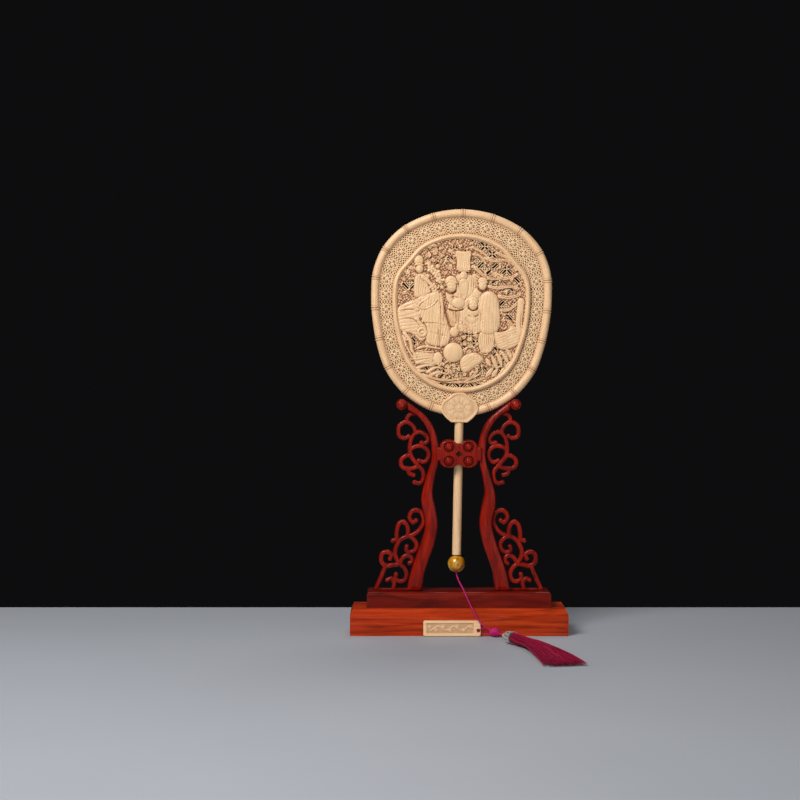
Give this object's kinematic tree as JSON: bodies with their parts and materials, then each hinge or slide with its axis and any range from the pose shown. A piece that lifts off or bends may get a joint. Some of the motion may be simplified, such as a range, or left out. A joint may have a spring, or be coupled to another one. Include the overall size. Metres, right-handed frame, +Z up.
{
  "type": "carved palace fan on a display stand",
  "caption": "Rigid openwork palace fan with a carved field, handle, bead and tassel, resting in a two-post scrollwork rosewood stand.",
  "frame": {"origin": "on the table, under the middle of the stand", "axes": "+Z up, +X to the right along the stand, -Y to the front, where the tassel lies"},
  "size_m": [0.2427, 0.2557, 0.4701],
  "materials": {
    "sandalwood": "fine satin, carved",
    "rosewood": "polished lacquer",
    "amber": "polished",
    "cord_silk": "twisted silk cord",
    "tassel_silk": "loose silk threads",
    "silver": "cast, openwork",
    "screw_steel": "plain"
  },
  "bodies": {
    "stand": {"plinth": "rosewood", "step": "rosewood", "post_left": "rosewood", "post_right": "rosewood", "bracket_upper_left": "rosewood", "bracket_upper_right": "rosewood", "bracket_lower_left": "rosewood", "bracket_lower_right": "rosewood", "holder_front": "rosewood", "holder_back": "rosewood", "holder_bosses": "rosewood", "volute_bosses": "rosewood", "post_dowels": "rosewood", "step_screws": "screw_steel", "cord": "cord_silk", "knot": "cord_silk", "plaque": "sandalwood", "plaque_loop": "cord_silk", "tassel_cap": "silver", "tassel_skirt": "tassel_silk"},
    "fan": {"rim_front": "sandalwood", "rim_back": "sandalwood", "lattice_panel": "sandalwood", "field_frame_front": "sandalwood", "field_frame_back": "sandalwood", "relief_front": "sandalwood", "relief_back": "sandalwood", "medallion_front": "sandalwood", "medallion_back": "sandalwood", "handle": "sandalwood", "handle_peg": "sandalwood", "cord_core": "cord_silk"},
    "bead": {"bead": "amber"}
  },
  "joints": [
    {"name": "fan_lift", "type": "slide", "parent": "stand", "child": "fan", "axis": [0.0185, 0, 0.9998], "range_m": [0, 0.215]},
    {"name": "bead_spin", "type": "hinge", "parent": "fan", "child": "bead", "pos_m": [-0.00227, 0, 0.0764], "axis": [0.0185, 0, 0.9998], "continuous": true}
  ]
}
